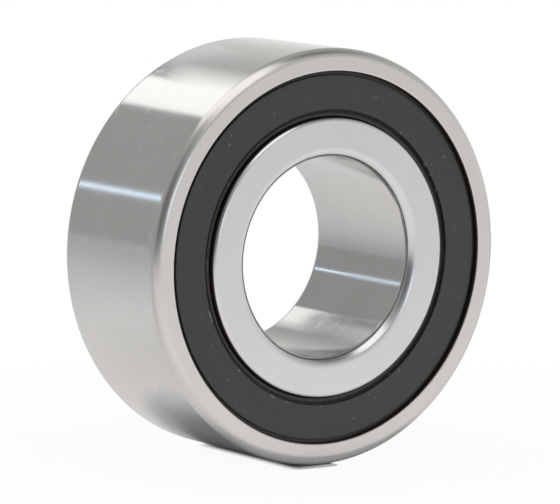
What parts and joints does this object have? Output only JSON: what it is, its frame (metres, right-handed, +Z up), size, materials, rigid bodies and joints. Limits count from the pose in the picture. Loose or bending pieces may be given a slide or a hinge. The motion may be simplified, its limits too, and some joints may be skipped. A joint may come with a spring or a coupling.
{
  "type": "double row angular contact bearing",
  "caption": "Double row angular contact ball bearing with a plain bore, ground steel rings and a rubber contact seal on each side.",
  "frame": {"origin": "centre of the bearing, on its axis and midway between its side faces", "axes": "+Y along the bearing axis from the front face to the rear face, +Z up, +X to the right seen from the front"},
  "size_m": [0.052, 0.0206, 0.052],
  "materials": {
    "outer_ring_steel": "ground and polished bearing steel",
    "inner_ring_steel": "ground bearing steel",
    "seal_rubber": "moulded matte nitrile rubber",
    "washer_steel": "stamped sheet steel",
    "cage_plastic": "natural glass filled polyamide",
    "ball_steel": "lapped bright steel"
  },
  "bodies": {
    "outer_ring_with_seals": {"outer_ring": "outer_ring_steel", "front_seal_rubber": "seal_rubber", "rear_seal_rubber": "seal_rubber", "front_seal_washer": "washer_steel", "rear_seal_washer": "washer_steel"},
    "inner_ring": {"inner_ring": "inner_ring_steel"},
    "front_cage": {"front_cage": "cage_plastic"},
    "front_ball_01": {"front_ball_01": "ball_steel"},
    "front_ball_02": {"front_ball_02": "ball_steel"},
    "front_ball_03": {"front_ball_03": "ball_steel"},
    "front_ball_04": {"front_ball_04": "ball_steel"},
    "front_ball_05": {"front_ball_05": "ball_steel"},
    "front_ball_06": {"front_ball_06": "ball_steel"},
    "front_ball_07": {"front_ball_07": "ball_steel"},
    "front_ball_08": {"front_ball_08": "ball_steel"},
    "front_ball_09": {"front_ball_09": "ball_steel"},
    "front_ball_10": {"front_ball_10": "ball_steel"},
    "rear_cage": {"rear_cage": "cage_plastic"},
    "rear_ball_01": {"rear_ball_01": "ball_steel"},
    "rear_ball_02": {"rear_ball_02": "ball_steel"},
    "rear_ball_03": {"rear_ball_03": "ball_steel"},
    "rear_ball_04": {"rear_ball_04": "ball_steel"},
    "rear_ball_05": {"rear_ball_05": "ball_steel"},
    "rear_ball_06": {"rear_ball_06": "ball_steel"},
    "rear_ball_07": {"rear_ball_07": "ball_steel"},
    "rear_ball_08": {"rear_ball_08": "ball_steel"},
    "rear_ball_09": {"rear_ball_09": "ball_steel"},
    "rear_ball_10": {"rear_ball_10": "ball_steel"}
  },
  "joints": [
    {"name": "inner_ring_spin", "type": "hinge", "parent": "outer_ring_with_seals", "child": "inner_ring", "pos_m": [0, 0, 0], "axis": [0, 1, 0], "continuous": true},
    {"name": "front_cage_spin", "type": "hinge", "parent": "outer_ring_with_seals", "child": "front_cage", "pos_m": [0, -0.0041, 0], "axis": [0, 1, 0], "continuous": true},
    {"name": "front_ball_01_spin", "type": "hinge", "parent": "front_cage", "child": "front_ball_01", "pos_m": [0.01925, -0.0041, 0], "axis": [-0.5, 0.866, 0], "continuous": true},
    {"name": "front_ball_02_spin", "type": "hinge", "parent": "front_cage", "child": "front_ball_02", "pos_m": [0.01557, -0.0041, 0.01131], "axis": [-0.4045, 0.866, -0.2939], "continuous": true},
    {"name": "front_ball_03_spin", "type": "hinge", "parent": "front_cage", "child": "front_ball_03", "pos_m": [0.00595, -0.0041, 0.01831], "axis": [-0.1545, 0.866, -0.4755], "continuous": true},
    {"name": "front_ball_04_spin", "type": "hinge", "parent": "front_cage", "child": "front_ball_04", "pos_m": [-0.00595, -0.0041, 0.01831], "axis": [0.1545, 0.866, -0.4755], "continuous": true},
    {"name": "front_ball_05_spin", "type": "hinge", "parent": "front_cage", "child": "front_ball_05", "pos_m": [-0.01557, -0.0041, 0.01131], "axis": [0.4045, 0.866, -0.2939], "continuous": true},
    {"name": "front_ball_06_spin", "type": "hinge", "parent": "front_cage", "child": "front_ball_06", "pos_m": [-0.01925, -0.0041, 0], "axis": [0.5, 0.866, 0], "continuous": true},
    {"name": "front_ball_07_spin", "type": "hinge", "parent": "front_cage", "child": "front_ball_07", "pos_m": [-0.01557, -0.0041, -0.01131], "axis": [0.4045, 0.866, 0.2939], "continuous": true},
    {"name": "front_ball_08_spin", "type": "hinge", "parent": "front_cage", "child": "front_ball_08", "pos_m": [-0.00595, -0.0041, -0.01831], "axis": [0.1545, 0.866, 0.4755], "continuous": true},
    {"name": "front_ball_09_spin", "type": "hinge", "parent": "front_cage", "child": "front_ball_09", "pos_m": [0.00595, -0.0041, -0.01831], "axis": [-0.1545, 0.866, 0.4755], "continuous": true},
    {"name": "front_ball_10_spin", "type": "hinge", "parent": "front_cage", "child": "front_ball_10", "pos_m": [0.01557, -0.0041, -0.01131], "axis": [-0.4045, 0.866, 0.2939], "continuous": true},
    {"name": "rear_cage_spin", "type": "hinge", "parent": "outer_ring_with_seals", "child": "rear_cage", "pos_m": [0, 0.0041, 0], "axis": [0, 1, 0], "continuous": true},
    {"name": "rear_ball_01_spin", "type": "hinge", "parent": "rear_cage", "child": "rear_ball_01", "pos_m": [0.01831, 0.0041, 0.00595], "axis": [0.4755, 0.866, 0.1545], "continuous": true},
    {"name": "rear_ball_02_spin", "type": "hinge", "parent": "rear_cage", "child": "rear_ball_02", "pos_m": [0.01131, 0.0041, 0.01557], "axis": [0.2939, 0.866, 0.4045], "continuous": true},
    {"name": "rear_ball_03_spin", "type": "hinge", "parent": "rear_cage", "child": "rear_ball_03", "pos_m": [0, 0.0041, 0.01925], "axis": [0, 0.866, 0.5], "continuous": true},
    {"name": "rear_ball_04_spin", "type": "hinge", "parent": "rear_cage", "child": "rear_ball_04", "pos_m": [-0.01131, 0.0041, 0.01557], "axis": [-0.2939, 0.866, 0.4045], "continuous": true},
    {"name": "rear_ball_05_spin", "type": "hinge", "parent": "rear_cage", "child": "rear_ball_05", "pos_m": [-0.01831, 0.0041, 0.00595], "axis": [-0.4755, 0.866, 0.1545], "continuous": true},
    {"name": "rear_ball_06_spin", "type": "hinge", "parent": "rear_cage", "child": "rear_ball_06", "pos_m": [-0.01831, 0.0041, -0.00595], "axis": [-0.4755, 0.866, -0.1545], "continuous": true},
    {"name": "rear_ball_07_spin", "type": "hinge", "parent": "rear_cage", "child": "rear_ball_07", "pos_m": [-0.01131, 0.0041, -0.01557], "axis": [-0.2939, 0.866, -0.4045], "continuous": true},
    {"name": "rear_ball_08_spin", "type": "hinge", "parent": "rear_cage", "child": "rear_ball_08", "pos_m": [0, 0.0041, -0.01925], "axis": [0, 0.866, -0.5], "continuous": true},
    {"name": "rear_ball_09_spin", "type": "hinge", "parent": "rear_cage", "child": "rear_ball_09", "pos_m": [0.01131, 0.0041, -0.01557], "axis": [0.2939, 0.866, -0.4045], "continuous": true},
    {"name": "rear_ball_10_spin", "type": "hinge", "parent": "rear_cage", "child": "rear_ball_10", "pos_m": [0.01831, 0.0041, -0.00595], "axis": [0.4755, 0.866, -0.1545], "continuous": true}
  ],
  "couplings": [
    {"joint": "front_cage_spin", "follows": "inner_ring_spin", "ratio": 0.41072},
    {"joint": "front_ball_01_spin", "follows": "inner_ring_spin", "ratio": -2.3477},
    {"joint": "front_ball_02_spin", "follows": "inner_ring_spin", "ratio": -2.3477},
    {"joint": "front_ball_03_spin", "follows": "inner_ring_spin", "ratio": -2.3477},
    {"joint": "front_ball_04_spin", "follows": "inner_ring_spin", "ratio": -2.3477},
    {"joint": "front_ball_05_spin", "follows": "inner_ring_spin", "ratio": -2.3477},
    {"joint": "front_ball_06_spin", "follows": "inner_ring_spin", "ratio": -2.3477},
    {"joint": "front_ball_07_spin", "follows": "inner_ring_spin", "ratio": -2.3477},
    {"joint": "front_ball_08_spin", "follows": "inner_ring_spin", "ratio": -2.3477},
    {"joint": "front_ball_09_spin", "follows": "inner_ring_spin", "ratio": -2.3477},
    {"joint": "front_ball_10_spin", "follows": "inner_ring_spin", "ratio": -2.3477},
    {"joint": "rear_cage_spin", "follows": "inner_ring_spin", "ratio": 0.41072},
    {"joint": "rear_ball_01_spin", "follows": "inner_ring_spin", "ratio": -2.3477},
    {"joint": "rear_ball_02_spin", "follows": "inner_ring_spin", "ratio": -2.3477},
    {"joint": "rear_ball_03_spin", "follows": "inner_ring_spin", "ratio": -2.3477},
    {"joint": "rear_ball_04_spin", "follows": "inner_ring_spin", "ratio": -2.3477},
    {"joint": "rear_ball_05_spin", "follows": "inner_ring_spin", "ratio": -2.3477},
    {"joint": "rear_ball_06_spin", "follows": "inner_ring_spin", "ratio": -2.3477},
    {"joint": "rear_ball_07_spin", "follows": "inner_ring_spin", "ratio": -2.3477},
    {"joint": "rear_ball_08_spin", "follows": "inner_ring_spin", "ratio": -2.3477},
    {"joint": "rear_ball_09_spin", "follows": "inner_ring_spin", "ratio": -2.3477},
    {"joint": "rear_ball_10_spin", "follows": "inner_ring_spin", "ratio": -2.3477}
  ]
}
